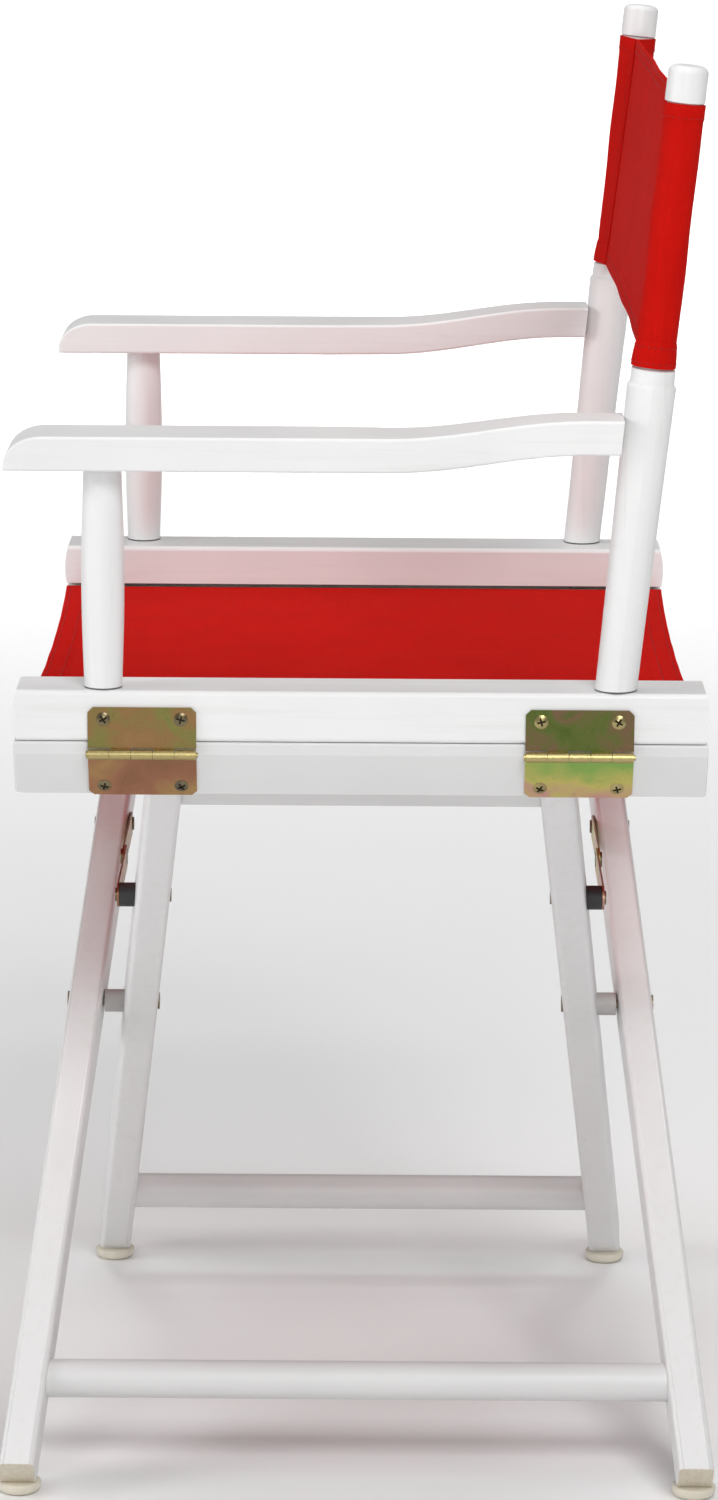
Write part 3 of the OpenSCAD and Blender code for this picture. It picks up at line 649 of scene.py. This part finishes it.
def sleeve_radius(s, a):
    """Cloth radius at height s and angle a: a flared cuff under a drawn-in seam, faint folds."""
    flare = 0
    if s < CUFF:
        flare = 1.5 * MM * math.sin(math.pi / 2 * (1 - s / CUFF)) * (0.7 + 0.3 * math.cos(a + 2.2))
    folds = 0.16 * MM * math.sin(3 * a + s * 70) + 0.12 * MM * math.sin(5 * a - s * 110)
    return WRAP_R - 0.1 * MM * bell(s, CUFF + 1 * MM, 3 * MM) + flare + folds * min(1, s / CUFF)


def sleeve_at(side):
    def at(u, s):
        """u runs from the seam's front layer, round the post, to its rear layer: 0 to 1."""
        tip = Vector((-POCKET, seam_front(s)))
        reach = tip.length
        toward = math.atan2(tip.y, tip.x)
        open_angle = math.acos(WRAP_R / reach)
        first, last = toward + open_angle, toward - open_angle + 2 * math.pi
        tail = reach * math.sin(open_angle)
        arc = (last - first) * WRAP_R
        place = u * (2 * tail + arc)
        if place < tail:
            t = place / tail
            r = sleeve_radius(s, first)
            end = Vector((math.cos(first), math.sin(first))) * r
            p = (tip - Vector((0, SEAM_HALF))).lerp(end, t)
        elif place > tail + arc:
            t = (place - tail - arc) / tail
            r = sleeve_radius(s, last)
            start = Vector((math.cos(last), math.sin(last))) * r
            p = start.lerp(tip + Vector((0, SEAM_HALF)), t)
        else:
            a = first + (place - tail) / WRAP_R
            p = Vector((math.cos(a), math.sin(a))) * sleeve_radius(s, a)
        c = post_at(side, s)
        return Vector((c.x + side * p.x, c.y, c.z)) + REARWARD * p.y
    return at


def back_thick(_, s):
    return 1.7 * MM if s < CUFF or s > BACK_H - TOP_HEM else 1.1 * MM


def back_levels():
    fine = 0.4 * MM
    return spread(0, BACK_H, 4 * MM, CUFF - fine, CUFF + fine, BACK_H - TOP_HEM - fine,
                  BACK_H - TOP_HEM + fine)


for side, end in ((1, "left"), (-1, "right")):
    at = sleeve_at(side)
    us = spread(0, 1, 1 / 56)
    if side < 0:
        us.reverse()
    sleeve = cloth("back_sleeve_" + end + "_canvas", us, back_levels(), at, back_thick,
                   red_bright)
    stand_for(sleeve, end + "_arm", "canvas", "back_sleeve_" + end)
    lines = []
    for u, way in ((0.05, -1), (0.95, 1)):
        lines.append([(at(u, s) + REARWARD * way * 0.6 * MM, ALONG, REARWARD * way)
                      for s in spread(2 * MM, BACK_H - 2 * MM, 3.2 * MM)])
    for s in (EDGE_ROW, CUFF - 2.2 * MM, BACK_H - TOP_HEM + HEM_ROW):
        row = []
        for u in spread(0.03, 0.97, 3.3 * MM / 0.085):        # the sleeve is about 85 mm round
            p, q = at(u - 0.01, s), at(u + 0.01, s)
            centre = post_at(side, s)
            outward = (p - centre).normalized()
            row.append(((p + q) / 2 + outward * THREAD_LIFT, q - p, outward))
        lines.append(row)
    seams = stitches("back_sleeve_" + end + "_seams", lines, red_thread)
    stand_for(seams, end + "_arm", "canvas")

BACK_BOW, BACK_DIP, BACK_WAVE = 1.2 * MM, 0.8 * MM, 0.5 * MM
PANEL_HALF = 0.24                              # half the panel's flat width


def panel_at(u, s):
    """u from -1 at the right seam to +1 at the left one."""
    c = post_at(1, s)
    x = u * (c.x - POCKET - 0.4 * MM)
    t = 1 - u * u
    dip = BACK_DIP * t * (2 * s / BACK_H - 1)
    p = Vector((x, c.y, c.z)) - ALONG * dip
    wave = BACK_WAVE * math.sin(u * 9 + s * 30) * t
    return p + REARWARD * (seam_front(s) + BACK_BOW * t + wave)


panel = cloth("back_canvas", list(reversed(spread(-1, 1, 8 * MM / PANEL_HALF))), back_levels(),
              panel_at, back_thick, red_bright)
panel_steps = spread(-0.975, 0.975, 3.4 * MM / PANEL_HALF)
panel_lines = []
for s in (EDGE_ROW, TOP_HEM - HEM_ROW, BACK_H - EDGE_ROW, BACK_H - TOP_HEM + HEM_ROW):
    for way in (-1, 1):
        panel_lines.append(row_on(panel_at, panel_steps, s, REARWARD * way, THREAD_LIFT, 0.004))
panel_seams = stitches("back_canvas_seams", panel_lines, red_thread)
mid = panel_at(0, BACK_H / 2)
for obj in (panel, panel_seams):
    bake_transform(obj)
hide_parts("back_canvas_left", "back_canvas_right")


# ---- Studio ----

FLOOR = 60                                     # half its width
floor_mesh = bpy.data.meshes.new("studio_floor")
floor_mesh.from_pydata([(-FLOOR, -FLOOR, 0), (FLOOR, -FLOOR, 0), (FLOOR, FLOOR, 0),
                        (-FLOOR, FLOOR, 0)], [], [(0, 1, 2, 3)])
floor = link("studio_floor", floor_mesh)
pale = Graph("pale_floor", Roughness=0.75)
speckle = pale.noise(pale.place(), 3.0, 2, 0.5)
floor_mesh.materials.append(
    pale.use(Base_Color=pale.mix(speckle, (0.92, 0.92, 0.92), (0.94, 0.94, 0.94))))

world = bpy.data.worlds.new("studio")
world.use_nodes = True
sky = world.node_tree.nodes["Background"]
sky.inputs[0].default_value = (1, 1, 1, 1)
sky.inputs[1].default_value = 0.22
bpy.context.scene.world = world


def area_light(name, place, aim, size, watts, spread_angle=180):
    light = bpy.data.lights.new(name, "AREA")
    light.shape = "RECTANGLE"
    light.size, light.size_y = size
    light.energy = watts
    light.spread = math.radians(spread_angle)
    obj = link(name, light)
    obj.location = place
    obj.rotation_mode = "QUATERNION"
    obj.rotation_quaternion = (Vector(aim) - Vector(place)).to_track_quat("-Z", "Y")


area_light("key_softbox", (3.3, 1.0, 3.25), (0, 0, 0.6), (1.5, 1.5), 82)
area_light("front_softbox", (3.4, 0.1, 1.25), (0, 0, 0.45), (0.6, 0.6), 14)
area_light("left_softbox", (1.0, -3.2, 1.5), (0, 0, 0.6), (1.4, 1.4), 40)
area_light("top_softbox", (-0.4, 0, 4.2), (0, 0, 0.5), (2.4, 2.4), 56)
# These two light only the floor behind: a narrower spread keeps them off the chair.
area_light("backdrop_softbox", (-7, 0, 4), (-7.001, 0, 0), (8, 8), 300, 90)
area_light("far_backdrop_softbox", (-19, 0, 6), (-19.001, 0, 0), (14, 14), 900, 90)
bpy.context.scene.view_settings.view_transform = "Standard"


# ---- Camera ----

PICTURE = (718, 1500)
SENSOR = 36.0                                  # mm
CAMERA_AT = (3.11205, 0.00824, 1.07918)        # from the perspective fit, as are the next two
YAW, PITCH, ROLL = (math.radians(v) for v in (-0.187, 12.109, 0.351))
FOCAL_PX = 5011.4
ahead, right, up = Vector((-1, 0, 0)), Vector((0, 1, 0)), Vector((0, 0, 1))
ahead, right = (math.cos(YAW) * ahead + math.sin(YAW) * right,
                -math.sin(YAW) * ahead + math.cos(YAW) * right)
ahead, up = (math.cos(PITCH) * ahead - math.sin(PITCH) * up,
             math.sin(PITCH) * ahead + math.cos(PITCH) * up)
right, up = (math.cos(ROLL) * right + math.sin(ROLL) * up,
             -math.sin(ROLL) * right + math.cos(ROLL) * up)
camera_data = bpy.data.cameras.new("camera")
camera_data.sensor_width = SENSOR
camera_data.lens = FOCAL_PX * SENSOR / max(PICTURE)
camera_data.clip_end = 200
camera = link("camera", camera_data)
camera.rotation_mode = "QUATERNION"
camera.location = CAMERA_AT
camera.rotation_quaternion = Matrix((right, up, -ahead)).transposed().to_quaternion()
bpy.context.scene.camera = camera
